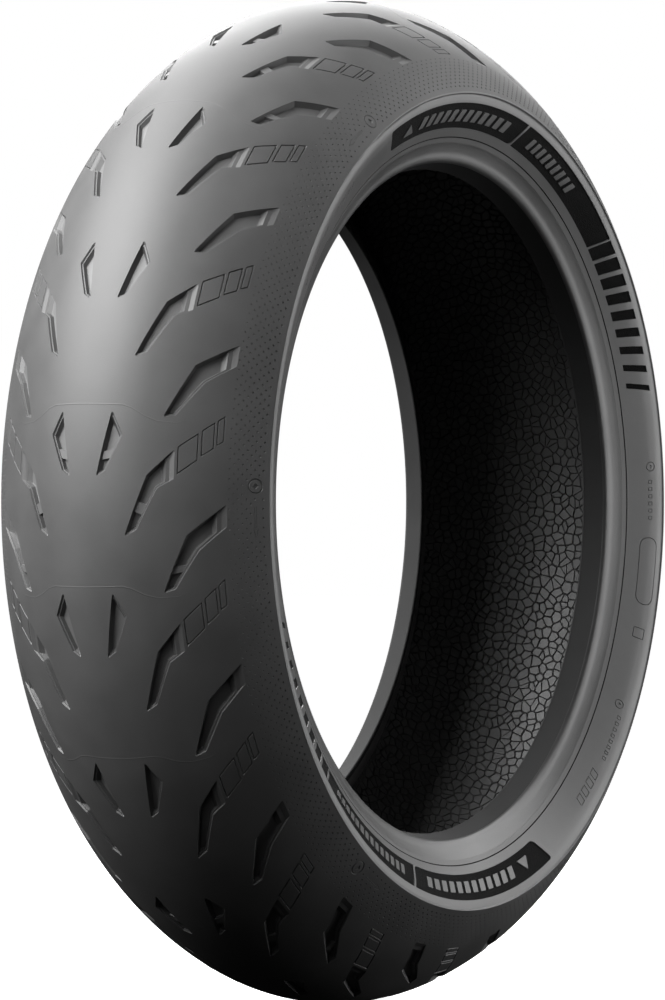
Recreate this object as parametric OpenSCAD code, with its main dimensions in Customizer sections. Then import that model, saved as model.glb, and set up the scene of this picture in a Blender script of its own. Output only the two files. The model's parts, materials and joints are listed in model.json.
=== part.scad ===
// Rear motorcycle tyre of the 190/55 R17 kind, built up from the parts it is assembled from.
// Millimetres. The origin is the wheel's centre, the tyre spins about +Y, and +Z is up.
// Seen from the saddle, left is +Y. A section point is [radius, axial position].

/* [Tyre size] */
// Overall diameter over the crown
overall_d = 644; // [640:1:648]
// Diameter of the bead seat that grips the rim
bead_d = 430; // [429:0.5:432]
// Radius of the crown arc at the middle of the tread
crown_r = 88; // [86:1:90]
// Radius of the flatter arcs on the tread's shoulders
shoulder_r = 137; // [134:1:140]

/* [Tread pattern] */
// Number of times the groove pattern repeats round the tyre
pitches = 18; // [12:1:18]
// Depth of the grooves
groove_depth = 5.5; // [3:0.5:6]
// Thickness of the tread compound
tread_t = 7; // [6.5:0.5:8]

/* [Cords] */
// Diameter of the steel bead wires
bead_wire_d = 0.96; // [0.8:0.02:1]
// Diameter of the cord wound round the crown
belt_cord_d = 0.9; // [0.6:0.1:1]
// Spacing of the turns of that cord
belt_cord_pitch = 11; // [10.5:0.5:20]

/* [Hidden] */

outer_r = overall_d / 2;
bead_r = bead_d / 2;
turn_fn = 180;      // facets of a circle in previews

// Crown: a central arc that runs into a flatter arc on each shoulder. Places on it are given
// as a number of equal steps of the surface's normal angle, counted from the middle.
step_a = 3.6;
split_n = 7;        // where the arcs meet
edge_n = 16;        // the tread's edge
split_a = split_n * step_a;
edge_a = edge_n * step_a;
split_s = crown_r * split_a * PI / 180;
shoulder_shift = crown_r - shoulder_r;
crown_center = [outer_r - crown_r, 0];
shoulder_center = crown_center + shoulder_shift * [cos(split_a), sin(split_a)];

// Build-up of the wall, measured outwards from the inner surface.
liner_t = 1.2;
tie_t = 0.4;
ply_t = 0.9;
ply_gap = 0.1;      // between the ply and its turned-up flap
breaker_t = 0.9;
belt_t = 1.4;
base_t = 0.8;
ply_in = liner_t + tie_t;
ply_out = ply_in + ply_t;
flap_in = ply_out + ply_gap;
flap_out = flap_in + ply_t;
breaker_out = flap_out + breaker_t;
belt_out = breaker_out + belt_t;
base_out = belt_out + base_t;
wall_t = base_out + tread_t;

// Steps at which the crown's layers end.
flap_end_n = 10;
belt_end_n = 12;
breaker_end_n = 13;
base_end_n = 14;
wall_top_n = 15;    // below this the layers follow the sidewall's own curve

// Bead: heel, seat and toe, then the wire core and the turn of the ply round it.
heel_y = 73.2;
seat_len = 6;
toe = [bead_r - 3, 62.9];
core = [bead_r + 6.5, 69.8];
core_wires = 4;     // wires along each side of the core's square
wire_pitch = 1.2;
core_gum_r = 3.45;
wrap_r = core_gum_r + 0.45;
turn_end = 15;      // number of the wall point where the ply leaves the wall
tip = 6;            // number of the wall point at the filler's tip
bite = 0.05;        // how far a polygon reaches into the round part beside it
belt_margin = 2;    // gum left beyond the last turn of cord

// Groove outlines of one pitch: [distance round the crown from its middle, angle round the tyre].
groove_a = [[9.3, 2.4], [15.4, 3.1], [25.4, 7.1], [17.6, 9.8]];
groove_b = [
    [27.2, -4.2], [35.2, -3.4], [47.8, 1.2], [51.3, 1.9], [57.9, 2.4], [57.9, 5.2],
    [55.3, 5.3], [41.3, 2.7],
];
groove_c = [
    [49.3, -10.7], [56.9, -10.4], [73, -6.1], [90.9, -3.4], [90.9, -1], [88, -1], [65.4, -4.2],
];

// ---- Curves ----

function reverse(p) = [for (i = [len(p) - 1 : -1 : 0]) p[i]];
function slice(p, first, last) = [for (i = [first : 1 : last]) p[i]];
function other_side(p) = [for (q = p) [q[0], -q[1]]];
function above(p, r) = [for (q = p) if (q[0] > r) q];
function below(p, r) = [for (q = p) if (q[0] <= r) q];
function arc(center, r, angles) = [for (a = angles) center + r * [sin(a), cos(a)]];

// Point of the crown at normal angle a, at a depth below the tread's surface.
function crown_point(a, depth) =
    a <= split_a
        ? crown_center + (crown_r - depth) * [cos(a), sin(a)]
        : shoulder_center + (shoulder_r - depth) * [cos(a), sin(a)];

// Points of the crown between two steps, at a depth below the tread's surface.
function crown_path(n0, n1, depth) =
    [for (n = [n0 : n1 > n0 ? 1 : -1 : n1])
        let (q = crown_point(abs(n) * step_a, depth)) n < 0 ? [q[0], -q[1]] : q];

// Normal angle at distance s round the crown from its middle.
function crown_angle(s) =
    s <= split_s
        ? s / crown_r * 180 / PI
        : split_a + (s - split_s) / shoulder_r * 180 / PI;

// Distance round the crown from its middle to normal angle a, past the split.
function crown_length(a) = split_s + shoulder_r * (a - split_a) * PI / 180;

// Smooth curve through points, with three steps between each pair.
function spline(p) =
    let (n = len(p) - 1)
    concat(
        [for (i = [0 : n - 1], t = [0, 1 / 3, 2 / 3])
            let (a = p[max(i - 1, 0)], b = p[i], c = p[i + 1], d = p[min(i + 2, n)])
                (2 * b + t * (c - a) + t * t * (2 * a - 5 * b + 4 * c - d)
                    + t * t * t * (3 * b - 3 * c + d - a)) / 2],
        [p[n]]);

// The path moved sideways, towards +Y where the path runs inwards.
function offset_path(p, d) = [for (i = [0 : len(p) - 1])
    let (t = p[min(i + 1, len(p) - 1)] - p[max(i - 1, 0)], u = t / norm(t))
        p[i] + d * [u[1], -u[0]]];

// Outside of the sidewall, from the tread's edge down to the rim line.
tread_edge = crown_point(edge_a, 0);
edge_r = tread_edge[0];
edge_y = tread_edge[1];
sidewall_outside = concat(
    [tread_edge],
    spline([
        [edge_r - 3.9, edge_y - 0.5], [edge_r - 8.7, edge_y - 1.6], [bead_r + 32, 90.3],
        [bead_r + 23.7, 86], [bead_r + 16.6, 82.5], [bead_r + 11.8, 79.5],
    ]));
rim_line = sidewall_outside[len(sidewall_outside) - 1];

// Outside of the bead: a hollow for the rim's flange, the heel, the seat and the toe.
bead_outside = concat(
    [rim_line, rim_line - [0.9, 0.6]],
    spline([
        [bead_r + 10, 77.6], [bead_r + 7, 75.8], [bead_r + 3.6, 75.1], [bead_r + 1.2, 74.6],
        [bead_r, heel_y],
    ]),
    [[bead_r, heel_y - seat_len], toe]);

// Inner surface from under the shoulder down to the toe.
wall_guide = [
    crown_point(base_end_n * step_a, wall_t), crown_point(wall_top_n * step_a, wall_t),
    [edge_r - 8.6, 83.2],
    [bead_r + 29, 82.2], [bead_r + 21, 76.6], [bead_r + 15.5, 71], [bead_r + 11.3, 65.2],
    [bead_r + 6.5, 63.4], [bead_r + 1.5, 62.5], toe,
];
wall_first = 4;     // number of the first curve point past the top of the wall
function wall(d) = concat(
    [crown_point(wall_top_n * step_a, wall_t - d)],
    let (p = offset_path(spline(wall_guide), d)) slice(p, wall_first, len(p) - 1));

// Half of the tyre at a distance from the inner surface, from the crown to where the ply turns.
function half_layer(d) = concat(
    crown_path(0, wall_top_n - 1, wall_t - d), slice(wall(d), 0, turn_end));

// The turned-up flap: its face on the filler's outside, then along the wall.
filler_face = spline([
    core + [0, wrap_r - bite], [bead_r + 9.5, 74.75], [bead_r + 12.5, 76.5],
    [bead_r + 17, 79.3], [bead_r + 22.5, 82.1], wall(flap_in)[tip],
]);
filler_back = offset_path(filler_face, -ply_t);
flap_inside = concat(filler_face, reverse(slice(wall(flap_in), 0, tip - 1)));
flap_outside = concat(
    slice(filler_back, 0, len(filler_back) - 2), reverse(slice(wall(flap_out), 0, tip)));
turn_angles = [144 : 18 : 342];     // round the core, from the wall's side to the filler's
turn_outside = arc(core, wrap_r + ply_t, turn_angles);
turn_inside = arc(core, wrap_r - bite, turn_angles);

// ---- Building blocks ----

module revolve() rotate([-90, 0, 0]) rotate_extrude($fn = turn_fn) children();
module on_side(side) if (side > 0) children(); else mirror([0, 1, 0]) children();
module disc(center, r) translate(center) circle(r, $fn = turn_fn);

// Part of a ring between two angles, in the section's plane.
module ring_part(center, a0, a1, r_in, r_out) {
    reach = 2 * r_out;
    intersection() {
        difference() {
            disc(center, r_out);
            disc(center, r_in);
        }
        translate(center)
            polygon([[0, 0], reach * [cos(a0), sin(a0)], reach * [cos(a1), sin(a1)]]);
    }
}

// Layer of tread on the central arc, between two depths.
module center_section(depth0, depth1)
    ring_part(crown_center, -split_a, split_a, crown_r - depth1, crown_r - depth0);

// Layer of tread on one shoulder arc, between two depths.
module shoulder_section(depth0, depth1)
    ring_part(shoulder_center, split_a, edge_a, shoulder_r - depth1, shoulder_r - depth0);

// Everything that lies under the tread.
module under_tread_section() polygon(crown_path(-edge_n - 1, edge_n + 1, tread_t));

// Layer right across the crown, ending at the same step on both sides.
module crown_section(end_n, depth0, depth1)
    polygon(concat(crown_path(-end_n, end_n, depth0), crown_path(end_n, -end_n, depth1)));

// Section with both halves, from a line that goes from the middle of the crown and back to it.
module both_halves(p)
    polygon(concat(p, reverse(other_side(slice(p, 1, len(p) - 2)))));

// Layer of the whole tyre, from bead to bead, between two distances from the inner surface.
module full_section(d0, d1) both_halves(concat(half_layer(d1), reverse(half_layer(d0))));

// ---- Tread ----

overrun = 0.5;      // how far a round shape reaches past the face that trims it

// A block standing on the crown over a groove's outline. middle is the outline's middle.
module groove_block(outline, middle) {
    a = crown_angle(middle[0]);
    foot = crown_point(a, groove_depth);
    below_floor = 3;
    above_floor = groove_depth + 4;     // clear of the crown's bulge
    rotate([0, middle[1], 0]) translate([-foot[0], foot[1], 0])
        rotate([0, 0, -a]) rotate([0, -90, 0]) rotate([0, 0, 90]) translate([0, 0, -below_floor])
            linear_extrude(below_floor + above_floor)
                polygon([for (q = outline)
                    let (r = crown_point(crown_angle(q[0]), 0)[0])
                        [q[0] - middle[0], (middle[1] - q[1]) * r * PI / 180]]);
}

module grooves_a() for (i = [0 : pitches - 1]) rotate([0, i * 360 / pitches, 0])
    groove_block(groove_a, [17, 5.5]);
module grooves_b() for (i = [0 : pitches - 1]) rotate([0, i * 360 / pitches, 0])
    groove_block(groove_b, [43, 0.5]);
module grooves_c() for (i = [0 : pitches - 1]) rotate([0, i * 360 / pitches, 0])
    groove_block(groove_c, [70, -5.5]);

module tread_center() color([0.16, 0.16, 0.17]) {
    difference() {
        revolve() center_section(0, groove_depth);
        for (side = [-1, 1]) on_side(side) {
            grooves_a();
            grooves_b();
        }
    }
    revolve() difference() {
        center_section(groove_depth, tread_t + overrun);
        under_tread_section();
    }
}

module tread_shoulder(side) color([0.2, 0.2, 0.21]) on_side(side) {
    difference() {
        revolve() shoulder_section(0, groove_depth);
        grooves_b();
        grooves_c();
    }
    revolve() difference() {
        shoulder_section(groove_depth, tread_t + overrun);
        under_tread_section();
    }
}
module tread_shoulder_left() tread_shoulder(1);
module tread_shoulder_right() tread_shoulder(-1);

module tread_base() color([0.3, 0.26, 0.25])
    revolve() crown_section(base_end_n, tread_t, tread_t + base_t);

// ---- Belts ----

belt_top = tread_t + base_t;
belt_foot = belt_top + belt_t;
breaker_foot = belt_foot + breaker_t;
cord_depth = belt_top + belt_t / 2;
cord_turns = floor((crown_length(belt_end_n * step_a) - belt_margin) / belt_cord_pitch);

module belt_cord_circles() for (i = [0 : cord_turns], side = i > 0 ? [-1, 1] : [1])
    on_side(side) disc(crown_point(crown_angle(i * belt_cord_pitch), cord_depth), belt_cord_d / 2);

module zero_degree_belt_gum() color([0.42, 0.36, 0.3]) revolve() difference() {
    crown_section(belt_end_n, belt_top, belt_foot);
    belt_cord_circles();
}

module zero_degree_belt_cords() color([0.75, 0.62, 0.32]) revolve() belt_cord_circles();

module breaker_ply() color([0.62, 0.55, 0.36])
    revolve() crown_section(breaker_end_n, belt_foot, breaker_foot);

// Gum that levels the crown between the ends of the ply's two flaps.
module crown_cushion() color([0.34, 0.3, 0.33])
    revolve() crown_section(flap_end_n, breaker_foot, wall_t - ply_out);

// Gum wedge that covers the stepped edges of the belts.
module belt_edge_strip(side) color([0.27, 0.3, 0.33]) on_side(side) revolve() polygon(concat(
    crown_path(base_end_n, wall_top_n, tread_t),
    crown_path(wall_top_n, breaker_end_n, breaker_foot),
    crown_path(breaker_end_n, belt_end_n, belt_foot),
    crown_path(belt_end_n, base_end_n, belt_top)));
module belt_edge_strip_left() belt_edge_strip(1);
module belt_edge_strip_right() belt_edge_strip(-1);

// ---- Carcass ----

// Half of the ply's outline: out along its outer face, round the core and up the flap, over the
// flap's end, and back the same way along the other face.
ply_outline = concat(
    half_layer(ply_out), turn_inside, flap_inside,
    crown_path(wall_top_n - 1, flap_end_n, breaker_foot + ply_t),
    crown_path(flap_end_n, wall_top_n - 1, breaker_foot),
    reverse(flap_outside), reverse(turn_outside), reverse(half_layer(ply_in)));

module carcass_ply() color([0.7, 0.52, 0.34]) revolve() difference() {
    both_halves(ply_outline);
    for (side = [-1, 1]) on_side(side) disc(core, wrap_r);
}

module tie_gum() color([0.36, 0.33, 0.3]) revolve() full_section(liner_t, ply_in);
module inner_liner() color([0.1, 0.1, 0.11]) revolve() full_section(0, liner_t);

// ---- Beads ----

module wire_circles() {
    middle = (core_wires - 1) / 2;
    for (i = [0 : core_wires - 1], j = [0 : core_wires - 1])
        disc(core + wire_pitch * [i - middle, j - middle], bead_wire_d / 2);
}

module bead_wires(side) color([0.76, 0.6, 0.36]) on_side(side) revolve() wire_circles();
module bead_wires_left() bead_wires(1);
module bead_wires_right() bead_wires(-1);

// Rubber that holds the wires together in one bundle.
module bead_gum(side) color([0.22, 0.22, 0.24]) on_side(side) revolve() difference() {
    disc(core, core_gum_r);
    wire_circles();
}
module bead_gum_left() bead_gum(1);
module bead_gum_right() bead_gum(-1);

module bead_wrap(side) color([0.82, 0.8, 0.72]) on_side(side) revolve() difference() {
    disc(core, wrap_r);
    disc(core, core_gum_r);
}
module bead_wrap_left() bead_wrap(1);
module bead_wrap_right() bead_wrap(-1);

// Hard rubber wedge above the bead, between the ply and its flap.
module bead_filler(side) color([0.3, 0.34, 0.4]) on_side(side) revolve() difference() {
    polygon(concat(
        slice(wall(ply_out), tip, turn_end), [turn_inside[0], core], filler_face));
    disc(core, wrap_r);
}
module bead_filler_left() bead_filler(1);
module bead_filler_right() bead_filler(-1);

// ---- Outside rubber ----

module sidewall(side) color([0.24, 0.24, 0.25]) on_side(side) revolve() polygon(concat(
    sidewall_outside, above(flap_outside, rim_line[0]),
    crown_path(wall_top_n, edge_n, tread_t)));
module sidewall_left() sidewall(1);
module sidewall_right() sidewall(-1);

// Hard rubber round the bead's outside, heel, seat and toe, where it meets the rim.
module chafer(side) color([0.13, 0.13, 0.14]) on_side(side) revolve() {
    inside = wall(0);
    polygon(concat(
        bead_outside, reverse(slice(inside, turn_end, len(inside) - 2)),
        [wall(ply_in)[turn_end]], turn_outside, below(flap_outside, rim_line[0]),
        [above(flap_outside, rim_line[0])[0]]));
}
module chafer_left() chafer(1);
module chafer_right() chafer(-1);

tread_center();
tread_shoulder_left();
tread_shoulder_right();
tread_base();
zero_degree_belt_gum();
zero_degree_belt_cords();
breaker_ply();
crown_cushion();
belt_edge_strip_left();
belt_edge_strip_right();
carcass_ply();
tie_gum();
inner_liner();
bead_wires_left();
bead_wires_right();
bead_gum_left();
bead_gum_right();
bead_wrap_left();
bead_wrap_right();
bead_filler_left();
bead_filler_right();
sidewall_left();
sidewall_right();
chafer_left();
chafer_right();
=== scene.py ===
"""Looks of a rear motorcycle tyre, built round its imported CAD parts.

Lengths are millimetres and angles degrees until a mesh is made, in metres. The frame is the CAD's:
the origin at the wheel's centre, the spin axis along Y, +Z up. The angle round the tyre runs from
-X over the top to +X. An outside surface is first drawn flat, as points (across, angle, depth), and
is then wrapped on its profile, as points (radius, axial place, angle).
"""

import json
import math
import random

import bmesh
import bpy
import numpy as np
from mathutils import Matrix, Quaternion, Vector
from mathutils.geometry import delaunay_2d_cdt

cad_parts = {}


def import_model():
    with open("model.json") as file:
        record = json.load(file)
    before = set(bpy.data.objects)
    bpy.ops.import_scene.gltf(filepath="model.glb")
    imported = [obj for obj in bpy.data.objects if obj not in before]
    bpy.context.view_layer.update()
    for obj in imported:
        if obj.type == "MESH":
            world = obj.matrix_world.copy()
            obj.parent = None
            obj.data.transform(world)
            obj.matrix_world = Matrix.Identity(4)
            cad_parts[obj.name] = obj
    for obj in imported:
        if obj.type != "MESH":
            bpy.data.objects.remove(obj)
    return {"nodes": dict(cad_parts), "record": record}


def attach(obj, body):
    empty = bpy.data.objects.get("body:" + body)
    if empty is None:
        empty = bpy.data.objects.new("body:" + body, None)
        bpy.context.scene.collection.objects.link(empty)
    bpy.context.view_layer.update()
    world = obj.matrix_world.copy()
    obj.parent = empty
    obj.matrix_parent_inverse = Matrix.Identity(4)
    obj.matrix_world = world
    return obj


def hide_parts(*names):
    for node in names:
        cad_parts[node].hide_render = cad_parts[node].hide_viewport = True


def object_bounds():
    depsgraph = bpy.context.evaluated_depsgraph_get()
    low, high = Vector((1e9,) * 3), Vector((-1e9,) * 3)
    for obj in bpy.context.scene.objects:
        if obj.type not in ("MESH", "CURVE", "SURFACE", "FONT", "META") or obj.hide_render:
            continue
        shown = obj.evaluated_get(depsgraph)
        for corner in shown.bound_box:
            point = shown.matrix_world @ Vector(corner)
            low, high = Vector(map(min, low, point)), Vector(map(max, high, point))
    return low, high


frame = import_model()
cad_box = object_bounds()

MM = 0.001
OUTER_R = 322.0
PITCHES = 18
PITCH = 360 / PITCHES
STEP = 1.25  # angle between the cuts that bend a flat drawing round the tyre
SHIFT = 0.3  # angle of the first cut, clear of the drawing's own lines
JOIN = 0.004  # points of a mesh closer than this are one
SURFACE, WALL, FLOOR, SEAM_TOP, SEAM_BOTTOM = range(5)  # what a face of a drawing is


# ---- Profiles: radius and axial place ----

CROWN_R = 88.0
SHOULDER_R = 137.0
SPLIT_A = math.radians(25.2)  # normal's angle where the two arcs meet
EDGE_A = math.radians(58.6)  # normal's angle at the tread's edge
SPLIT_S = CROWN_R * SPLIT_A
EDGE_S = SPLIT_S + SHOULDER_R * (EDGE_A - SPLIT_A)
TREAD_T = 7.0
WALL_T = 13.6  # all the layers under the crown
SHOULDER_CENTER = (
    OUTER_R - CROWN_R + (CROWN_R - SHOULDER_R) * math.cos(SPLIT_A),
    (CROWN_R - SHOULDER_R) * math.sin(SPLIT_A),
)


def spline(guide, steps=6):
    """Smooth curve through points."""
    p = np.array([guide[0], *guide, guide[-1]], float)
    out = []
    for a, b, c, d in zip(p, p[1:], p[2:], p[3:]):
        for t in np.arange(steps) / steps:
            bend = t * t * (2 * a - 5 * b + 4 * c - d) + t**3 * (3 * b - 3 * c + d - a)
            out.append((2 * b + t * (c - a) + bend) / 2)
    return np.array([*out, p[-1]])


def crown(s, depth):
    """Crown points at a distance s round it from its middle, and a depth below the surface."""
    s, side = np.abs(s), np.where(np.asarray(s) < 0, -1, 1)
    far = s > SPLIT_S
    a = np.where(far, SPLIT_A + (s - SPLIT_S) / SHOULDER_R, s / CROWN_R)
    arc = np.where(far, SHOULDER_R, CROWN_R) - depth
    r = np.where(far, SHOULDER_CENTER[0], OUTER_R - CROWN_R) + arc * np.cos(a)
    y = np.where(far, SHOULDER_CENTER[1], 0) + arc * np.sin(a)
    return np.stack([r, side * y], axis=-1)


SIDEWALL = np.array([
    # a small moulded rib against the tread's edge, then the face down to the rim line
    (261.0, 96.1), (260.7, 96.4), (260.2, 96.5), (259.7, 96.3), (259.4, 95.85),
    *spline([(259.2, 95.75), (257, 95.6), (254, 95.0), (250, 93.3), (246.5, 91.5),
             (239.4, 87.5), (232.2, 83.4), (228.9, 81.6)]),
])[::-1]
SIDE_LOW, SIDE_TOP = SIDEWALL[0][0], SIDEWALL[-1][0]
CHAFER = [
    # outer face, then the toe and the inner face, then the side against the carcass
    *spline([(228.85, 81.55), (226, 79.9), (222.5, 78.1), (219.5, 76.9), (217.4, 75.8),
             (216.2, 74.6), (215.6, 73.1)]),
    *spline([(212.5, 62.8), (212, 61.7), (212.5, 60.9), (213.5, 60.8), (215, 61.2),
             (221.5, 63.2), (226.3, 65.2)]),
    *spline([(226.3, 66.5), (221.5, 65.4), (217.6, 65.6), (217.4, 70), (217.8, 73.3), (220, 75),
             (225, 76.6), (228.85, 78.6)]),
]
INNER_WALL = spline([(254.5, 83.2), (244, 82.2), (236, 76.6), (230.5, 71), (226.3, 65.2)])


def side_point(r, depth):
    """Sidewall points at a radius, and a depth below the surface."""
    slope = np.interp(r, SIDEWALL[:, 0], np.gradient(SIDEWALL[:, 1], SIDEWALL[:, 0]))
    size = np.sqrt(1 + slope**2)
    y = np.interp(r, SIDEWALL[:, 0], SIDEWALL[:, 1])
    return np.stack([r + depth * slope / size, y - depth / size], axis=-1)


def along(path, t, depth):
    """Points at a distance t along a path, and a depth to the left of its direction."""
    steps = np.linalg.norm(np.diff(path, axis=0), axis=1)
    places = np.concatenate([[0], np.cumsum(steps)])
    way = np.gradient(path, places, axis=0)
    point = np.stack([np.interp(t, places, path[:, n]) for n in (0, 1)], axis=-1)
    way = np.stack([np.interp(t, places, way[:, n]) for n in (0, 1)], axis=-1)
    way /= np.linalg.norm(way, axis=1)[:, None]
    return point + np.stack([-way[:, 1], way[:, 0]], axis=-1) * np.reshape(depth, (-1, 1))


def turned(points):
    """Points in space, from points (radius, axial place, angle)."""
    t = np.radians(points[:, 2])
    r = points[:, 0]
    return np.stack([-r * np.cos(t), points[:, 1], r * np.sin(t)], axis=-1)


# ---- Flat drawing ----


def inset(corners, by):
    """Corners of a polygon whose sides have each moved inwards by their own distance."""
    p = np.array(corners, float)
    d = np.roll(p, -1, axis=0) - p
    d /= np.linalg.norm(d, axis=1)[:, None]
    base = p + np.stack([-d[:, 1], d[:, 0]], axis=1) * np.reshape(by, (-1, 1))
    out = []
    for i in range(len(p)):
        far = np.linalg.solve(np.array([d[i - 1], -d[i]]).T, base[i] - base[i - 1])[0]
        out.append(base[i - 1] + d[i - 1] * far)
    return np.array(out)


def rounded(corners, radius, steps=3):
    """A closed loop: a polygon with every corner rounded, by one radius or by one each."""
    p = np.array(corners, float)
    radii = np.broadcast_to(radius, len(p))
    loop = []
    for i in range(len(p)):
        sides = [p[i - 1] - p[i], p[(i + 1) % len(p)] - p[i]]
        sizes = [np.linalg.norm(side) for side in sides]
        one, two = sides[0] / sizes[0], sides[1] / sizes[1]
        half = math.acos(max(-1.0, min(1.0, float(one @ two)))) / 2
        reach = min(radii[i] / math.tan(half), 0.45 * min(sizes))
        middle = p[i] + (one + two) / np.linalg.norm(one + two) * reach / math.cos(half)
        first, last = p[i] + one * reach - middle, p[i] + two * reach - middle
        start = math.atan2(first[1], first[0])
        sweep = (math.atan2(last[1], last[0]) - start + math.pi) % (2 * math.pi) - math.pi
        for k in range(steps + 1):
            a = start + sweep * k / steps
            loop.append(middle + np.linalg.norm(first) * np.array([math.cos(a), math.sin(a)]))
    return np.array(loop)


def circle(middle, radius, count):
    """A closed loop of evenly spaced points."""
    a = np.arange(count) * 2 * math.pi / count
    return np.array(middle) + radius * np.stack([np.cos(a), np.sin(a)], axis=1)


def inside(points, loop):
    """Which points lie in a closed loop."""
    x, y = points[:, :1], points[:, 1:2]
    x0, y0 = loop[:, 0][None], loop[:, 1][None]
    x1, y1 = np.roll(loop[:, 0], -1)[None], np.roll(loop[:, 1], -1)[None]
    rise = np.where(y1 == y0, 1e-12, y1 - y0)
    crossed = ((y0 > y) != (y1 > y)) & (x < x0 + (y - y0) * (x1 - x0) / rise)
    return crossed.sum(axis=1) % 2 == 1


class Drawing:
    """A flat drawing. Its shapes take places (across, angle), and lengths in millimetres."""

    def __init__(self, mm_per_degree):
        self.scale = mm_per_degree
        self.points, self.faces, self.kinds = [], [], []
        self.holes = []

    def flat(self, places):
        """Places in millimetres. Those of an outline come back counter-clockwise."""
        p = np.array(places, float) * (1, self.scale)
        if p.ndim > 1 and np.cross(p, np.roll(p, -1, axis=0)).sum() < 0:
            p = p[::-1]
        return p

    def add(self, loop, depth):
        """Adds points at one depth. Returns their numbers."""
        first = len(self.points)
        self.points += [(float(p[0]), float(p[1]), float(depth)) for p in loop]
        return list(range(first, first + len(loop)))

    def loft(self, loops, depths, kind=WALL):
        """Walls between loops of equal length, each at its own depth."""
        rings = [self.add(loop, depth) for loop, depth in zip(loops, depths)]
        for a, b in zip(rings, rings[1:]):
            for i in range(len(a)):
                self.faces.append((a[i - 1], a[i], b[i], b[i - 1]))
                self.kinds.append(kind)

    def fill(self, outline, holes, depth, kind):
        """Flat area inside an outline and outside its holes."""
        points, edges = [], []
        for loop in [outline, *holes]:
            first = len(points)
            points += [Vector((float(p[0]), float(p[1]))) for p in loop]
            edges += [(first + i, first + (i + 1) % len(loop)) for i in range(len(loop))]
        found = delaunay_2d_cdt(points, edges, [], 0, 1e-5)
        co = np.array([tuple(p) for p in found[0]])
        tris = np.array([tuple(t) for t in found[2]])
        mid = co[tris].mean(axis=1)
        keep = inside(mid, np.array(outline))
        for loop in holes:
            near = np.all((mid > loop.min(axis=0)) & (mid < loop.max(axis=0)), axis=1)
            near = np.where(near)[0]
            keep[near[inside(mid[near], loop)]] = False
        first = len(self.points)
        self.points += [(float(p[0]), float(p[1]), float(depth)) for p in co]
        self.faces += [tuple(int(v) + first for v in t) for t in tris[keep]]
        self.kinds += [kind] * int(keep.sum())

    def strip(self, one, two, kind):
        """Quads between two rows of points (across, angle, depth)."""
        first = len(self.points)
        for row in (one, two):
            self.points += [(float(s), float(a) * self.scale, float(d)) for s, a, d in row]
        n = len(one)
        for i in range(first, first + n - 1):
            self.faces.append((i, i + 1, i + n + 1, i + n))
            self.kinds.append(kind)

    def sink(self, corners, walls, depths, radius, floor=WALL, islands=()):
        """A hollow. At each depth, every side of its outline has moved in by its own distance."""
        flat = self.flat(corners)
        loops = [rounded(inset(flat, [w[n] for w in walls]), radius) for n in range(len(depths))]
        self.loft(loops, depths)
        self.fill(loops[-1], [self.rise(i, depths[-1]) for i in islands], depths[-1], floor)
        self.holes.append(loops[0])

    def rise(self, corners, depth):
        """A block that stands from a hollow's floor up to the surface. Returns its foot."""
        flat = self.flat(corners)
        loops = [rounded(inset(flat, [by] * len(flat)), 0.4, 2) for by in (-PANEL_LEAN, 0)]
        self.loft(loops, (depth, 0))
        self.fill(loops[1], [], 0, SURFACE)
        return loops[0]

    def engrave(self, corners, radius, width=0.9, depth=0.9):
        """A narrow groove along a closed outline, with surface inside it."""
        flat = self.flat(corners)
        moves = (-width / 2, 0, width / 2)
        loops = [rounded(inset(flat, [by] * len(flat)), radius) for by in moves]
        self.groove(loops, depth)

    def engrave_ring(self, middle, radius, width=0.5, depth=0.3):
        """A narrow round groove, with surface and a small hollow square inside it."""
        middle = self.flat(middle)
        radii = (radius + width / 2, radius, radius - width / 2)
        loops = [circle(middle, r, 32) for r in radii]
        rim_of_square = circle(middle, radius * 0.45, 4)
        floor_of_square = circle(middle, radius * 0.45 * 0.7, 4)
        self.loft([rim_of_square, floor_of_square], (0, depth))
        self.fill(floor_of_square, [], depth, WALL)
        self.groove(loops, depth, [rim_of_square])

    def groove(self, loops, depth, inner_holes=()):
        """A groove whose section is a V between three loops, and the surface inside it."""
        self.loft(loops, (0, depth, 0))
        self.fill(loops[2], list(inner_holes), 0, SURFACE)
        self.holes.append(loops[0])

    def pit(self, place, radius, depth):
        """A small pointed hollow."""
        middle = self.flat(place)
        rims = [circle(middle, radius, 6), circle(middle, radius / 2, 6)]
        self.loft(rims, (0, depth))
        self.faces.append(tuple(self.add(rims[1], depth)))
        self.kinds.append(WALL)
        self.holes.append(rims[0])

    def cut(self, across, angles):
        """Points, faces and kinds, after cuts at the given places."""
        bm = bmesh.new()
        made = [bm.verts.new(p) for p in self.points]
        for face, kind in zip(self.faces, self.kinds):
            bm.faces.new([made[i] for i in face]).material_index = kind
        bmesh.ops.remove_doubles(bm, verts=bm.verts, dist=5e-4)
        cuts = [(Vector((1, 0, 0)), s) for s in across]
        cuts += [(Vector((0, 1, 0)), a * self.scale) for a in angles]
        for way, place in cuts:
            everything = bm.verts[:] + bm.edges[:] + bm.faces[:]
            bmesh.ops.bisect_plane(
                bm, geom=everything, dist=1e-4, plane_co=way * place, plane_no=way
            )
        bm.verts.index_update()
        points = np.array([tuple(v.co) for v in bm.verts])
        faces = [[v.index for v in f.verts] for f in bm.faces]
        kinds = np.array([f.material_index for f in bm.faces])
        bm.free()
        points[:, 1] /= self.scale
        return points, faces, kinds


# ---- Skins and solids ----


def merged(parts):
    """One set of points, faces and kinds from several."""
    faces, first = [], 0
    for p, f, _ in parts:
        faces += [[i + first for i in face] for face in f]
        first += len(p)
    return np.concatenate([p for p, _, _ in parts]), faces, np.concatenate([k for _, _, k in parts])


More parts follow.
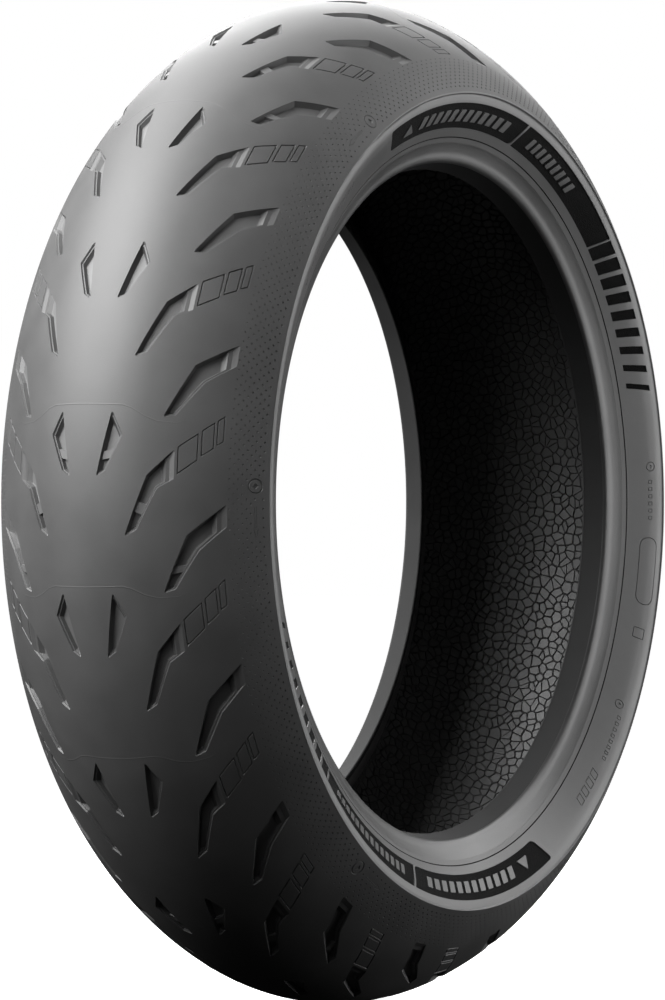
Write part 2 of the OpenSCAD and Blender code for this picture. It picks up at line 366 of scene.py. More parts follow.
def part_of(skin, keep):
    """The faces of a skin whose middle is in the place that keep tells."""
    points, faces, kinds = skin
    middles = np.array([points[face, 0].mean() for face in faces])
    chosen = np.where(keep(middles))[0]
    return points, [faces[i] for i in chosen], kinds[chosen]


def rim(skin, across):
    """The points of a skin on one line round the tyre, in order."""
    points, faces, _ = skin
    used = np.unique(np.concatenate([np.array(face) for face in faces]))
    on = used[np.abs(points[used, 0] - across) < 1e-3]
    angles = np.round(points[on, 1] % 360, 3) % 360
    _, first = np.unique(angles, return_index=True)
    return on[first]


def zipped(a, b, angles):
    """Triangles between two rings of points, both in order round the tyre."""
    faces, i, j = [], 0, 0
    n, m = len(a), len(b)
    on_a = [*angles[a], angles[a[0]] + 360]
    on_b = [*angles[b], angles[b[0]] + 360]
    while i < n or j < m:
        if j == m or (i < n and on_a[i + 1] <= on_b[j + 1]):
            faces.append([a[i], a[(i + 1) % n], b[j % m]])
            i += 1
        else:
            faces.append([a[i % n], b[(j + 1) % m], b[j]])
            j += 1
    return faces


def solid(skin, place, rims, back):
    """A closed ring: a skin wrapped on its profile, and a plain back between its two rims."""
    flat, faces, kinds = skin
    shape = np.column_stack([place(flat[:, 0], flat[:, 2]), flat[:, 1] % 360])
    rings = [rim(skin, rims[0])]
    angles = np.arange(0, 360, STEP) + SHIFT
    points = [shape]
    count = len(shape)
    for r, y in back:
        points.append(np.column_stack([np.full_like(angles, r), np.full_like(angles, y), angles]))
        rings.append(np.arange(count, count + len(angles)))
        count += len(angles)
    rings.append(rim(skin, rims[1]))
    points = np.concatenate(points)
    made = []
    for a, b in zip(rings, rings[1:]):
        made += zipped(a, b, points[:, 2])
    return points, faces + made, np.concatenate([kinds, np.full(len(made), WALL)])


def lathe(path):
    """A closed ring from a closed loop (radius, axial place)."""
    angles = np.arange(0, 360, STEP)
    n, m = len(path), len(angles)
    points = np.concatenate([
        np.column_stack([np.array(path), np.full(n, angle)]) for angle in angles
    ])
    faces = []
    for k in range(m):
        one, two = k * n, (k + 1) % m * n
        faces += [[one + i - 1, one + i, two + i, two + i - 1] for i in range(1, n)]
        faces.append([one + n - 1, one, two, two + n - 1])
    return points, faces, np.full(len(faces), WALL)


def build(name, shape, materials, sharp=35, normal=None, half_turn=False):
    """An object from points (radius, axial place, angle), with its double points joined."""
    points, faces, kinds = shape
    co = turned(points) * MM
    if half_turn:
        co *= (-1, -1, 1)
    me = bpy.data.meshes.new(name)
    me.from_pydata(co.tolist(), [], faces)
    me.polygons.foreach_set("material_index", np.minimum(kinds, len(materials) - 1).astype(int))
    bm = bmesh.new()
    bm.from_mesh(me)
    bmesh.ops.remove_doubles(bm, verts=bm.verts, dist=JOIN * MM)
    bmesh.ops.recalc_face_normals(bm, faces=bm.faces)
    bm.to_mesh(me)
    bm.free()
    me.shade_smooth()
    me.set_sharp_from_angle(angle=math.radians(sharp))
    if normal:
        set_normals(me, normal, half_turn)
    for material in materials:
        me.materials.append(material)
    ob = bpy.data.objects.new(name, me)
    bpy.context.scene.collection.objects.link(ob)
    return ob


def set_normals(me, normal, half_turn):
    """Gives the corners of plain surface faces the profile's own normal."""
    co = np.empty(len(me.vertices) * 3)
    me.vertices.foreach_get("co", co)
    corner = np.empty(len(me.loops), int)
    me.loops.foreach_get("vertex_index", corner)
    sizes = np.empty(len(me.polygons), int)
    me.polygons.foreach_get("loop_total", sizes)
    kinds = np.empty(len(me.polygons), int)
    me.polygons.foreach_get("material_index", kinds)
    plain = np.repeat(kinds == SURFACE, sizes)
    sign = (-1, -1, 1) if half_turn else (1, 1, 1)
    out = np.zeros((len(me.loops), 3))
    at = co.reshape(-1, 3)[corner[plain]] / MM * sign
    r = np.hypot(at[:, 0], at[:, 2])
    toward_r, toward_y = normal(r, at[:, 1])
    out[plain] = np.stack([at[:, 0] / r * toward_r, toward_y, at[:, 2] / r * toward_r], 1) * sign
    me.normals_split_custom_set(out.tolist())


def tread_normal(r, y):
    """The crown's own normal, as its radial and axial parts."""
    a = np.arctan2(np.abs(y), r - (OUTER_R - CROWN_R))
    far = np.arctan2(np.abs(y) - SHOULDER_CENTER[1], r - SHOULDER_CENTER[0])
    a = np.where(a > SPLIT_A, far, a)
    return np.cos(a), np.sign(y) * np.sin(a)


def side_normal(r, y):
    """The sidewall's own normal, as its radial and axial parts."""
    slope = np.interp(r, SIDEWALL[:, 0], np.gradient(SIDEWALL[:, 1], SIDEWALL[:, 0]))
    size = np.sqrt(1 + slope**2)
    return -slope / size, np.sign(y) / size


# ---- Tread ----

TREAD_SCALE = 5  # flat millimetres a degree
TREAD_SHARP = 14  # angle past which an edge of the tread is drawn sharp
GROOVE_CORNER = 0.7  # radius
GROOVE_DEPTHS = (0, 1.1, 1.2, 3.6, 3.8)
# How far a wall has moved in at each of those depths.
STEEP = (0, 0.45, 0.55, 1.7, 1.9)
BLUNT = (0, 0.5, 1.0, 1.9, 2.2)
STEPPED = (0, 0.35, 1.4, 1.9, 2.2)
RAMP = (0, 3.4, 6.2, 8.9, 9.4)
GROOVES = (  # corners (distance from the middle, angle), and each side's wall with its share
    ([(9.3, 2.4), (15.4, 3.1), (25.4, 7.1), (17.6, 9.8)],
     [(BLUNT, 0.85), (STEPPED, 0.76), (BLUNT, 1.4), (STEEP, 0.95)]),
    ([(27.2, -4.2), (35.2, -3.4), (47.8, 1.2), (57.9, 2.3), (57.9, 5.75), (41.3, 2.7)],
     [(BLUNT, 0.92), (STEPPED, 0.85), (STEPPED, 0.85), (RAMP, 0.82), (STEEP, 0.95),
      (STEEP, 0.95)]),
    ([(49.3, -10.7), (56.9, -10.4), (73, -6.1), (90.9, -3.4), (90.9, -0.6), (65.4, -4.2)],
     [(BLUNT, 1), (STEPPED, 1), (STEPPED, 1), (RAMP, 1), (STEEP, 1), (STEEP, 1)]),
)
FRAMES = (
    [(60, 2.9), (71.8, 4.6), (71.8, 7.7), (60, 6.0)],
    [(74.2, 5.1), (81.5, 6.1), (81.5, 9.2), (74.2, 8.1)],
    [(83.5, 6.5), (87.5, 7.0), (87.5, 10.1), (83.5, 9.5)],
)
WEAR_BARS = (
    [(12.6, 4.3), (20, 4.6), (21.8, 5.6), (13.4, 5.25)],
    [(33.4, -1.4), (41, -1.95), (43.4, -0.75), (35.4, -0.2)],
    [(53.6, -8.7), (63, -8.45), (65, -7.7), (55.4, -7.8)],
)
BAR_DEPTHS = (1.6, 4.6)  # a wear bar's top and foot
SEAM = np.array([  # where two of the mould's sectors meet
    (0, 10.4), (24, 10.4), (30, 10.1), (38, 9.3), (46, 8.8), (58, 8.75), (65, 9.2), (72, 9.9),
    (80, 10.7), (87, 11.3), (90, 11.56), (EDGE_S, 11.56),
])
SEAM_HALF = 0.1  # angle
SEAM_RISE = 0.12
SEAM_END, SEAM_FADE = 88, 50  # distances from the middle: where it has gone, and over how far
MARK_EVERY = 3  # pitches
MARK_PLACE = (109.5, 1.7)
ARROW = [(108.9, -1), (108.9, -3.8), (107.9, -3.8), (109.5, -5), (111.1, -3.8), (110.1, -3.8),
         (110.1, -1)]
PIT_COLUMNS, PIT_ROWS = 9, 16
PIT_START, PIT_GAP = 114.6, 2.8  # the outermost column's distance from the middle, and the next's


def seam_row(turn_by):
    """The seam's points, turned round the tyre."""
    return [(s, a + turn_by, 0) for s, a in SEAM]


def edge_pits(page, marked):
    """Columns of small pits beside the tread's edge, finer away from it."""
    for column in range(PIT_COLUMNS):
        s = PIT_START - PIT_GAP * column
        first = SEAM[-1][1] - PITCH
        for k in range(PIT_ROWS):
            angle = math.ceil(first / STEP) * STEP + (k - column % 2 / 2) * STEP
            if column % 2 and angle < first + 0.15:
                angle += PITCH
            across, along_it = s - MARK_PLACE[0], angle - MARK_PLACE[1]
            near_mark = math.hypot(across, along_it * page.scale) < 7
            near_arrow = abs(across) < 3 and -5.6 < angle < -0.4
            if not (marked and (near_mark or near_arrow)):
                page.pit((s, angle), 0.85 - 0.035 * column, 0.5 - 0.02 * column)


def half_pitch(marked):
    """One pitch of half the tread, from its middle to its edge, between two seams."""
    page = Drawing(TREAD_SCALE)
    for corners, walls in GROOVES:
        walls = [tuple(step * share for step in wall) for wall, share in walls]
        # Groove floors take the floor look, a lighter rubber that is painted light in these shaded
        # bottoms.
        page.sink(corners, walls, GROOVE_DEPTHS, GROOVE_CORNER, FLOOR)
    for corners in FRAMES:
        page.engrave(corners, 0.5)
    edge_pits(page, marked)
    if marked:
        page.engrave_ring(MARK_PLACE, 4.6, width=1.1, depth=0.6)
        page.engrave(ARROW, 0.15, width=0.3, depth=0.25)
    top, bottom = seam_row(-SEAM_HALF), seam_row(SEAM_HALF - PITCH)
    page.strip(seam_row(0), top, SEAM_TOP)
    page.strip(bottom, seam_row(-PITCH), SEAM_BOTTOM)
    outline = page.flat([(s, a) for s, a, _ in bottom] + [(s, a) for s, a, _ in top[::-1]])
    page.fill(outline, page.holes, 0, SURFACE)
    first = math.ceil((SEAM[:, 1].min() - PITCH) / STEP) * STEP + SHIFT
    across = [SPLIT_S, *range(5, 115, 5)]
    return page.cut(across, first + STEP * np.arange(-1, 18))


def has_seam(pitch):
    """Whether the mould's sectors meet after this pitch."""
    return pitch % 2 == 0 or pitch == PITCHES - 1


def tread_skin():
    """The whole tread's surface: every pitch and its mirror image, with raised seams."""
    halves = {marked: half_pitch(marked) for marked in (False, True)}
    parts = []
    for k in range(PITCHES):
        points, faces, kinds = (np.copy(a) if isinstance(a, np.ndarray) else a
                                for a in halves[k % MARK_EVERY == 0])
        after = np.interp(points[:, 0], SEAM[:, 0], SEAM[:, 1]) - points[:, 1]
        for here, kind, raised in (
            (np.abs(after) < 1e-3, SEAM_TOP, has_seam(k)),
            (np.abs(after - PITCH) < 1e-3, SEAM_BOTTOM, has_seam((k - 1) % PITCHES)),
        ):
            fade = np.clip((SEAM_END - points[here, 0]) / SEAM_FADE, 0, 1)
            points[here, 2] = -SEAM_RISE * fade if raised else 0
            kinds[kinds == kind] = WALL if raised else SURFACE
        points[:, 1] += PITCH * k
        parts += [(points, faces, kinds), (points * (-1, 1, 1), faces, kinds)]
    return merged(parts)


def wear_bars(low, high):
    """Low blocks in the grooves, whose middles are between two distances from the middle."""
    parts = []
    for k in range(0, PITCHES, MARK_EVERY):
        for corners in WEAR_BARS:
            for side in (-1, 1):
                middle = side * np.mean([s for s, _ in corners])
                if low < middle < high:
                    block = [(s * side, a + PITCH * k, depth) for depth in BAR_DEPTHS
                             for s, a in corners]
                    n = len(corners)
                    faces = [list(range(n)), list(range(n, 2 * n))]
                    faces += [[i, (i + 1) % n, n + (i + 1) % n, n + i] for i in range(n)]
                    # Wear bars take the floor look too: lighter rubber, painted light.
                    parts.append((np.array(block), faces, np.full(n + 2, FLOOR)))
    flat, faces, kinds = merged(parts)
    return np.column_stack([crown(flat[:, 0], flat[:, 2]), flat[:, 1] % 360]), faces, kinds


def tread_piece(name, skin, low, high, materials):
    """The part of the tread between two distances from the middle, with its wear bars."""
    part = part_of(skin, lambda s: (s > low) & (s < high))
    back = crown(np.linspace(low, high, 21), TREAD_T)
    shape = solid(part, crown, (low, high), back)
    shape = merged([shape, wear_bars(low, high)])
    return build(name, shape, materials, TREAD_SHARP, tread_normal)


# ---- Sidewalls, chafers and liner ----

PANEL_LOW, PANEL_HIGH, PANEL_DEPTH = 237.8, 253.9, 0.55  # radii and depth of a dark panel
PANEL_LEAN = 0.12  # how far a panel's walls move in over its depth
MARK_LOW, MARK_HIGH = 242.1, 249.2  # radii of the marks in a panel
SLANT = 1.5  # angle that the ends of panels and bars lean over their height
FINE_LINE, LINE_HALF, LINE_DEPTH = 232.2, 0.35, 0.35  # radius of the rim line; its floor is black velvet, painted shade
SIDE_SCALE = 4.3  # flat millimetres a degree
HALF_EDGES = (62, 242)  # angles where one half of a sidewall starts and ends
THINNING_BARS = 9
SIDE_T = 2.6


def slab(low, high, first, last, lean=SLANT):
    """A slanted block: radii, angles at its lower side, and how far it leans."""
    return [(low, first), (high, first + lean), (high, last + lean), (low, last)]


def mark_row(first, last, pitch, width):
    """Slanted bars in a row, where the real tyre has its lettering."""
    count = round((last - first) / pitch)
    starts = [first + k * pitch for k in range(count)]
    return [slab(MARK_LOW, MARK_HIGH, start, start + width, lean=0.8) for start in starts]


def dark_panel(page, corners, radius, islands=()):
    """A shallow dark hollow, with blocks that stand up to the surface."""
    walls = [(0, PANEL_LEAN)] * len(corners)
    page.sink(corners, walls, (0, PANEL_DEPTH), radius, FLOOR, islands)


def half_sidewall(half):
    """Half a turn of the sidewall: two dark panels, bars that get thinner, and small marks."""
    page = Drawing(SIDE_SCALE)
    sign = [(MARK_LOW, 70.2), (MARK_LOW, 73.2), (MARK_HIGH, 71.7)]
    wide = [(PANEL_LOW, 66.7), (PANEL_HIGH, 65.1), (PANEL_HIGH, 106.9), (PANEL_LOW, 104.9)]
    dark_panel(page, wide, (5, 1.5, 0.4, 5), [sign, *mark_row(75, 102.6, 2.3, 1.45)])
    narrow = [(PANEL_LOW, 105.35), (PANEL_HIGH, 107.4), (PANEL_HIGH, 137), (PANEL_LOW, 135.4)]
    row_end = 133 if half else 124
    dark_panel(page, narrow, 0.3, mark_row(109, row_end, 1.7, 1.0))
    for k in range(THINNING_BARS):
        first = 135.75 + 3.1 * k
        dark_panel(page, slab(PANEL_LOW, PANEL_HIGH, first, first + 2.5 - 0.2 * k), 0.3)
    for place in ((249, 174.4), (246, 212.6)):
        page.engrave_ring(place, 2.9, width=0.5, depth=0.35)
    capsule = slab(242, 254, 185.3, 195.7, lean=0)
    page.engrave(capsule, 5.4, width=0.5, depth=0.35)
    small_frame = slab(244, 251.6, 199.5, 201.1, lean=0)
    page.engrave(small_frame, 0.6, width=0.45, depth=0.35)
    for first, last in ((176.5, 182.5), (214.5, 223)):
        for angle in np.arange(first, last, 1.1):
            dash = slab(247.2, 249.6, angle, angle + 0.5, lean=0)
            page.engrave(dash, 0.3, width=0.4, depth=0.3)
    for angle in (225.3, 227.2, 229.1, 231):
        slanted = slab(244.2, 249.2, angle, angle + 1.2, lean=0.4)
        page.engrave(slanted, 0.3, width=0.45, depth=0.35)
    start, end = HALF_EDGES
    line_low, line_high = FINE_LINE - LINE_HALF, FINE_LINE + LINE_HALF
    for low, high, holes in ((SIDE_LOW, line_low, []), (line_high, SIDE_TOP, page.holes)):
        outline = page.flat([(low, start), (high, start), (high, end), (low, end)])
        page.fill(outline, holes, 0, SURFACE)
    rows = [[(r, a, d) for a in HALF_EDGES]
            for r, d in ((line_low, 0), (FINE_LINE, LINE_DEPTH), (line_high, 0))]
    # The rim line's floor takes the black panel velvet: painted shade in this narrow groove.
    page.strip(rows[0], rows[1], FLOOR)
    page.strip(rows[1], rows[2], FLOOR)
    # Cuts for the sidewall's bends: wide apart on its face, close on the rib.
    radii = (230.5, 235, 237, 241, 243, 245, 247.5, 250, 252, 254, 256, 257.5,
             259.3, 259.7, 260.2, 260.7)
    angles = np.arange(math.ceil(start / STEP) * STEP + SHIFT, end, STEP)
    points, faces, kinds = page.cut(radii, angles)
    return points + (0, 180 * half, 0), faces, kinds


def sidewall_shape():
    """The right sidewall, from two equal halves apart from one row's length."""
    skin = merged([half_sidewall(half) for half in (0, 1)])
    back = side_point(np.linspace(SIDE_LOW, SIDE_TOP - 0.3, 12), SIDE_T)
    return solid(skin, lambda r, depth: side_point(r, depth) * (1, -1), (SIDE_LOW, SIDE_TOP),
                 back * (1, -1))


SEAT_R = 216.0  # a chafer's faces that lie wholly inside this radius are its seat, coloured darker as painted shade


def bead_shape():
    """A chafer. Its seat, which grips the rim, has a look of its own: a rougher, duller finish, and
    a darker colour that is painted shade.
    """
    points, faces, _ = lathe([(r, -y) for r, y in CHAFER])
    reach = np.array([points[face, 0].max() for face in faces])
    return points, faces, np.where(reach < SEAT_R, WALL, SURFACE)


CELL = 5.5  # usual size of a cell
CELL_DEPTH = 0.9
CELL_EDGE = 0.75  # half the width of the gap between two cells
LINER_T = 1.2
LINER_START = EDGE_S - 11  # distance from the middle where the liner leaves the crown
LINER_PARTS = (("right", 0, 0.33, 11), ("left", 0.33, 1, 12))  # side, share of width, seed
LINER_SCALE = 5.0  # flat millimetres a degree
LINER_SHARP = 20


def cell_corners(width, height, seed):
    """Corner rings of irregular cells that fill a width and repeat over a height."""
    random.seed(seed)
    columns, rows = round(width / CELL), round(height / CELL)
    dx, dy = width / columns, height / rows
    seeds = []
    for j in range(rows):
        for i in range(columns):
            x = dx * (i + 0.5 + 0.46 * random.uniform(-1, 1))
            y = dy * (j + 0.25 * (i % 2) + 0.4 + 0.55 * random.uniform(-1, 1))
            seeds.append((x, y % height))
    reach = 4 * CELL
    wrapped = [(x, y + height) for x, y in seeds if y < reach]
    wrapped += [(x, y - height) for x, y in seeds if y > height - reach]
    seeds += wrapped
    seeds += [(-x, y) for x, y in seeds if x < reach]
    seeds += [(2 * width - x, y) for x, y in seeds if width - reach < x < width]
    found = delaunay_2d_cdt([Vector(p) for p in seeds], [], [], 0, 1e-6)
    co = np.array([tuple(p) for p in found[0]])
    tris = np.array([tuple(t) for t in found[2]])
    a, b, c = (co[tris[:, n]] for n in range(3))
    twice = 2 * np.cross(b - a, c - a)
    ab, ac = ((b - a) ** 2).sum(1), ((c - a) ** 2).sum(1)
    ux = ((c - a)[:, 1] * ab - (b - a)[:, 1] * ac) / twice
    uy = ((b - a)[:, 0] * ac - (c - a)[:, 0] * ab) / twice
    middles = a + np.stack([ux, uy], axis=1)
    rings = {}
    for t, tri in enumerate(tris):
        for v in tri:
            rings.setdefault(int(v), []).append(t)
    out = []
    for v, tri_ids in rings.items():
        x, y = co[v]
        if 0 < x < width and 0 <= y < height:
            ring = middles[tri_ids]
            order = np.argsort(np.arctan2(ring[:, 1] - y, ring[:, 0] - x))
            out.append(ring[order])
    return out


def liner_path():
    """The inner surface from the right bead to the left one."""
    s = np.linspace(0, LINER_START, 26)
    half = np.concatenate([crown(s, WALL_T), INNER_WALL])
    return np.concatenate([half[:0:-1] * (1, -1), half])


def liner_shape(low, high, seed):
    """Part of the liner between two shares of its width, under flat cells with gaps between."""
    path = liner_path()
    whole = np.linalg.norm(np.diff(path, axis=0), axis=1).sum()
    ends = (whole * low, whole * high)
    width = ends[1] - ends[0]
    points, faces = [], []
    for ring in cell_corners(width, 360 * LINER_SCALE, seed):
        middle = ring.mean(axis=0)
        size = np.linalg.norm(ring - middle, axis=1).mean()
        top = middle + (ring - middle) * (1 - min(CELL_EDGE / size, 0.5))
        first, n = len(points), len(ring)
        points += [(p[0], p[1] / LINER_SCALE, CELL_DEPTH) for p in ring]
        points += [(p[0], p[1] / LINER_SCALE, 0) for p in top]
        faces += [[first + (i + 1) % n, first + i, first + n + i, first + n + (i + 1) % n]
                  for i in range(n)]
        faces.append(list(range(first + n, first + 2 * n)))
    points = np.array(points)
    for end in (0, width):
        points[np.abs(points[:, 0] - end) < 1e-3, 0] = end
    points[:, 0] += ends[0]
    for bead in (0, whole):
        points[np.abs(points[:, 0] - bead) < 1e-3, 2] = 0
    skin = points, faces, np.full(len(faces), WALL)
    back = along(path, np.linspace(*ends, 16), -LINER_T)
    return solid(skin, lambda t, depth: along(path, t, -depth), ends, back)


# ---- Materials ----


class Finish:
    """A material whose colour, roughness and fine relief come from nodes."""

    def __init__(self, name):
        self.material = bpy.data.materials.new(name)
        self.material.use_nodes = True
        self.nodes = self.material.node_tree.nodes
        self.links = self.material.node_tree.links
        self.shader = self.nodes["Principled BSDF"]
        self.where = self.nodes.new("ShaderNodeTexCoord").outputs["Object"]

    def texture(self, kind, **values):
        """A texture's grey output, from the object's own coordinates."""
        node = self.nodes.new(kind)
        self.links.new(self.where, node.inputs["Vector"])
        for key, value in values.items():
            if key in node.inputs:
                node.inputs[key].default_value = value
            else:
                setattr(node, key, value)
        return node.outputs[0]

    def between(self, value, low, high):
        """A grey value spread over a range."""
        node = self.nodes.new("ShaderNodeMapRange")
        self.links.new(value, node.inputs["Value"])
        node.inputs["From Min"].default_value = 0.3
        node.inputs["From Max"].default_value = 0.7
        node.inputs["To Min"].default_value = low
        node.inputs["To Max"].default_value = high
        return node.outputs[0]

    def colour(self, value, dark, light):
        """The base colour: from dark to light as a grey value rises."""
        node = self.nodes.new("ShaderNodeValToRGB")
        self.links.new(value, node.inputs[0])
        ends = node.color_ramp.elements
        ends[0].position, ends[1].position = 0.3, 0.7
        ends[0].color, ends[1].color = (*dark, 1), (*light, 1)
        self.links.new(node.outputs[0], self.shader.inputs["Base Color"])

    def rough(self, value, low, high):
        """The roughness, from a grey value."""
        self.links.new(self.between(value, low, high), self.shader.inputs["Roughness"])

    def relief(self, *layers):
        """Bumps from pairs of a grey value and a height in millimetres."""
        last = None
        for value, height in layers:
            node = self.nodes.new("ShaderNodeBump")
            node.inputs["Distance"].default_value = height * MM
            self.links.new(value, node.inputs["Height"])
            if last:
                self.links.new(last, node.inputs["Normal"])
            last = node.outputs[0]
        self.links.new(last, self.shader.inputs["Normal"])


def grey(level):
    return (level, level, level)


def rubber(name, level, rough, grain=0.05, shine=0.5):
    """Moulded rubber: blotches a few centimetres wide, fine grain, and a soft shine."""
    f = Finish(name)
    broad = f.texture("ShaderNodeTexNoise", Scale=22, Detail=5, Roughness=0.6)
    fine = f.texture("ShaderNodeTexNoise", Scale=1400, Detail=3)
    f.colour(broad, grey(level * 0.88), grey(level * 1.12))
    f.rough(broad, rough - 0.04, rough + 0.04)
    f.relief((fine, grain))
    f.shader.inputs["Specular IOR Level"].default_value = shine
    return f.material


def velvet(name):
    """Black moulded velvet: close fine ribs that swallow light."""
    f = Finish(name)
    cells = f.texture("ShaderNodeTexVoronoi", Scale=1500)
    fine = f.texture("ShaderNodeTexNoise", Scale=900, Detail=2)
    f.colour(fine, grey(0.004), grey(0.011))
    f.rough(fine, 0.75, 0.95)
    f.relief((cells, 0.25))
    f.shader.inputs["Specular IOR Level"].default_value = 0.15
    return f.material


def cloth(name, dark, light, scale=900):
    """Rubber-coated cord cloth: parallel cords under a thin skin."""
    f = Finish(name)
    cords = f.texture("ShaderNodeTexWave", Scale=scale, Distortion=0.4, bands_direction="DIAGONAL")
    fine = f.texture("ShaderNodeTexNoise", Scale=700, Detail=4)
    f.colour(cords, dark, light)
    f.rough(fine, 0.6, 0.85)
    f.relief((cords, 0.2), (fine, 0.05))
    return f.material


def wire(name):
    """Brass-plated steel wire with faint drawing marks."""
    f = Finish(name)
    marks = f.texture("ShaderNodeTexNoise", Scale=1800, Detail=4)
    f.colour(marks, (0.42, 0.33, 0.19), (0.6, 0.5, 0.33))
    f.rough(marks, 0.22, 0.4)
    f.relief((marks, 0.01))
    f.shader.inputs["Metallic"].default_value = 1
    return f.material


def make_materials():
    """Every look by its slot's name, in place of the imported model's plain ones."""
    for plain in list(bpy.data.materials):
        bpy.data.materials.remove(plain)
    brown, tan = (0.1, 0.07, 0.045), (0.24, 0.17, 0.1)
    return {
        "tread_rubber": rubber("tread_rubber", 0.08, 0.55, shine=0.8),
        # Painted light: groove_rubber is lighter than the tread, so groove floors and wear bars in
        # shade look nearly as light as the tread.
        "groove_rubber": rubber("groove_rubber", 0.13, 0.5, shine=0.8),
        "shoulder_rubber": rubber("shoulder_rubber", 0.08, 0.55, shine=0.8),
        "sidewall_rubber": rubber("sidewall_rubber", 0.085, 0.44, shine=0.9),
        "panel_velvet": velvet("panel_velvet"),
        "chafer_rubber": rubber("chafer_rubber", 0.07, 0.36, shine=0.9),
        # Painted shade: seat_rubber's colour is about half the chafer's, standing in for the shade
        # on the seat, which faces away from the lamps. Its roughness and low shine are its own
        # finish.
        "seat_rubber": rubber("seat_rubber", 0.035, 0.75, shine=0.2),
        "liner_rubber": rubber("liner_rubber", 0.044, 0.52, shine=0.7),
        "base_rubber": rubber("base_rubber", 0.05, 0.7),
        "belt_gum": rubber("belt_gum", 0.12, 0.7, 0.1),
        "cushion_rubber": rubber("cushion_rubber", 0.06, 0.7),
        "strip_rubber": rubber("strip_rubber", 0.06, 0.7),
        "tie_rubber": rubber("tie_rubber", 0.07, 0.7),
        "bead_rubber": rubber("bead_rubber", 0.05, 0.7),
        "filler_rubber": rubber("filler_rubber", 0.05, 0.7),
        "aramid_cord": cloth("aramid_cord", (0.45, 0.3, 0.08), (0.7, 0.52, 0.18), 1400),
        "breaker_cloth": cloth("breaker_cloth", brown, tan),
        "carcass_cloth": cloth("carcass_cloth", brown, tan),
        "wrap_cloth": cloth("wrap_cloth", brown, tan, 1200),
        "bead_wire": wire("bead_wire"),
    }


# ---- Scene ----

AMBIENT = 0.005
FLOOR_HALF = 30  # metres from the middle to each side
FLOOR_BELOW = 0.0005  # metres under the tyre
FLOOR_GLOW = 1.02
CAMERA_TURN, CAMERA_RISE, CAMERA_ROLL = 1.05305, -0.00409, 0.0022  # radians
CAMERA_FAR = 5.2717  # metres
CAMERA_LENS, CAMERA_SENSOR = 295.3, 36
CAMERA_SHIFT = (-0.01134, 0.0015)
# Name, angle to the camera's right, angle above the horizon, distance, size and watts.
LIGHTS = (
    ("left", -60, 38, 2.5, 2.4, 122),
    ("far_left", -95, 50, 2.5, 2.0, 36),
    ("front", -30, 30, 2.5, 2.4, 14),
    ("rear_left", -150, 60, 2.5, 2.4, 40),
    ("right", 85, 0, 2.5, 1.6, 20),
    ("rear_right_low", 115, 0, 2.5, 1.6, 14),
    ("rear_right_high", 120, 30, 2.5, 1.6, 20),
    ("rear", 180, 30, 2.5, 1.6, 46),
)


def handed_over(ob, node):
    """Sets a new piece in place of the CAD node."""
    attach(ob, "root")
    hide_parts(node)


def floor(low):
    """A wide pale floor that hardly darkens under the tyre, and sends no light back up."""
    me = bpy.data.meshes.new("floor")
    ends = (-FLOOR_HALF, FLOOR_HALF)
    corners = [(ends[i], ends[j], low - FLOOR_BELOW) for i, j in ((0, 0), (1, 0), (1, 1), (0, 1))]
    me.from_pydata(corners, [], [(0, 1, 2, 3)])
    ob = bpy.data.objects.new("floor", me)
    bpy.context.scene.collection.objects.link(ob)
    f = Finish("floor")
    spots = f.texture("ShaderNodeTexNoise", Scale=3)
    f.colour(spots, grey(0.78), grey(0.82))
    f.rough(spots, 0.8, 0.9)
    f.shader.inputs["Emission Color"].default_value = (1, 1, 1, 1)
    f.shader.inputs["Emission Strength"].default_value = FLOOR_GLOW
    me.materials.append(f.material)
    ob.visible_diffuse = False
    ob.visible_glossy = False


def world():
    """White behind the tyre, and a dim even light on it."""
    scene_world = bpy.data.worlds.new("studio")
    bpy.context.scene.world = scene_world
    scene_world.use_nodes = True
    nodes, links = scene_world.node_tree.nodes, scene_world.node_tree.links
    back = nodes["Background"]
    ray = nodes.new("ShaderNodeLightPath")
    mix = nodes.new("ShaderNodeMapRange")
    mix.inputs["To Min"].default_value = AMBIENT
    mix.inputs["To Max"].default_value = 1
    links.new(ray.outputs["Is Camera Ray"], mix.inputs["Value"])
    links.new(mix.outputs[0], back.inputs["Strength"])
    back.inputs["Color"].default_value = (1, 1, 1, 1)


def back_of_view():
    """The direction from the tyre to the camera."""
    return Vector((
        -math.sin(CAMERA_TURN) * math.cos(CAMERA_RISE),
        -math.cos(CAMERA_TURN) * math.cos(CAMERA_RISE),
        math.sin(CAMERA_RISE),
    ))


def camera():
    """A long lens, level with the axle."""
    data = bpy.data.cameras.new("camera")
    data.lens = CAMERA_LENS
    data.sensor_width = CAMERA_SENSOR
    data.shift_x, data.shift_y = CAMERA_SHIFT
    ob = bpy.data.objects.new("camera", data)
    back = back_of_view()
    ob.location = back * CAMERA_FAR
    ob.rotation_mode = "QUATERNION"
    aim = (-back).to_track_quat("-Z", "Y")
    ob.rotation_quaternion = aim @ Quaternion((0, 0, 1), CAMERA_ROLL)
    bpy.context.scene.collection.objects.link(ob)
    bpy.context.scene.camera = ob


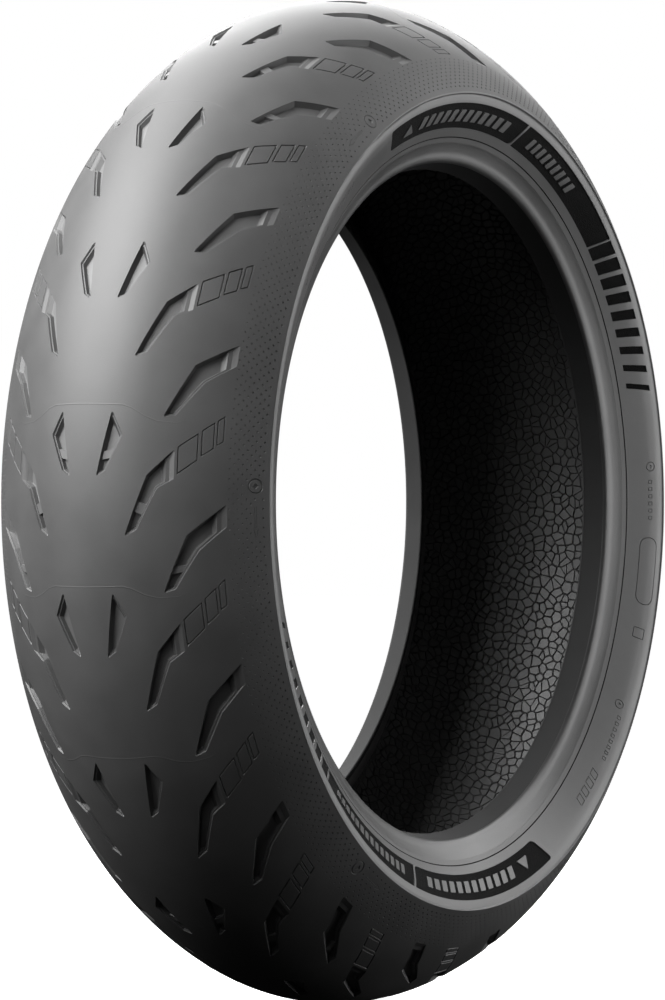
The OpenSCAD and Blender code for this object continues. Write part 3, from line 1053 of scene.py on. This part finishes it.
def lights():
    """Large soft lights round the tyre, placed from where the camera stands."""
    back = back_of_view()
    base = math.atan2(back.y, back.x)
    for name, azimuth, rise, far, size, watts in LIGHTS:
        data = bpy.data.lights.new(name, "AREA")
        data.shape = "DISK"
        data.size = size
        data.energy = watts
        ob = bpy.data.objects.new(name, data)
        a, e = base + math.radians(azimuth), math.radians(rise)
        way = Vector((math.cos(a) * math.cos(e), math.sin(a) * math.cos(e), math.sin(e)))
        ob.location = way * far
        ob.rotation_mode = "QUATERNION"
        ob.rotation_quaternion = (-way).to_track_quat("-Z", "Y")
        ob.visible_camera = False
        bpy.context.scene.collection.objects.link(ob)


def main():
    """Gives the inner CAD parts their looks, and builds the visible pieces and the studio."""
    looks = make_materials()
    for row in frame["record"]["subparts"]:
        mesh = frame["nodes"][row["node"]].data
        mesh.materials.clear()
        mesh.materials.append(looks[row["material_slot"]])

    skin = tread_skin()
    # The looks of a piece are in the order of its kinds of face: surface, wall, floor. The floor
    # look is a lighter rubber: painted light in the shaded groove bottoms and on the wear bars.
    crown_looks = [looks["tread_rubber"], looks["tread_rubber"], looks["groove_rubber"]]
    edge_looks = [looks["shoulder_rubber"], looks["shoulder_rubber"], looks["groove_rubber"]]
    handed_over(tread_piece("center", skin, -SPLIT_S, SPLIT_S, crown_looks),
                "tread_center")
    for side, low, high in (("left", SPLIT_S, EDGE_S), ("right", -EDGE_S, -SPLIT_S)):
        handed_over(tread_piece("shoulder_" + side, skin, low, high, edge_looks),
                    "tread_shoulder_" + side)

    wall_shape = sidewall_shape()
    # The chafer's seat takes the darker seat look: painted shade.
    bead_looks = [looks["chafer_rubber"], looks["seat_rubber"]]
    # The floor look, black velvet, is the panels' own finish, and painted shade in the rim line.
    wall_looks = [looks["sidewall_rubber"], looks["sidewall_rubber"], looks["panel_velvet"]]
    for side in ("right", "left"):
        on_left = side == "left"
        wall = build("side_" + side, wall_shape, wall_looks, normal=side_normal, half_turn=on_left)
        handed_over(wall, "sidewall_" + side)
        bead = build("bead_" + side, bead_shape(), bead_looks, half_turn=on_left)
        handed_over(bead, "chafer_" + side)
    for side, low, high, seed in LINER_PARTS:
        shape = liner_shape(low, high, seed)
        liner = build("liner_" + side, shape, [looks["liner_rubber"]], LINER_SHARP)
        handed_over(liner, "inner_liner")

    floor(cad_box[0].z)
    world()
    lights()
    camera()


main()
bpy.context.scene.view_settings.view_transform = "Standard"
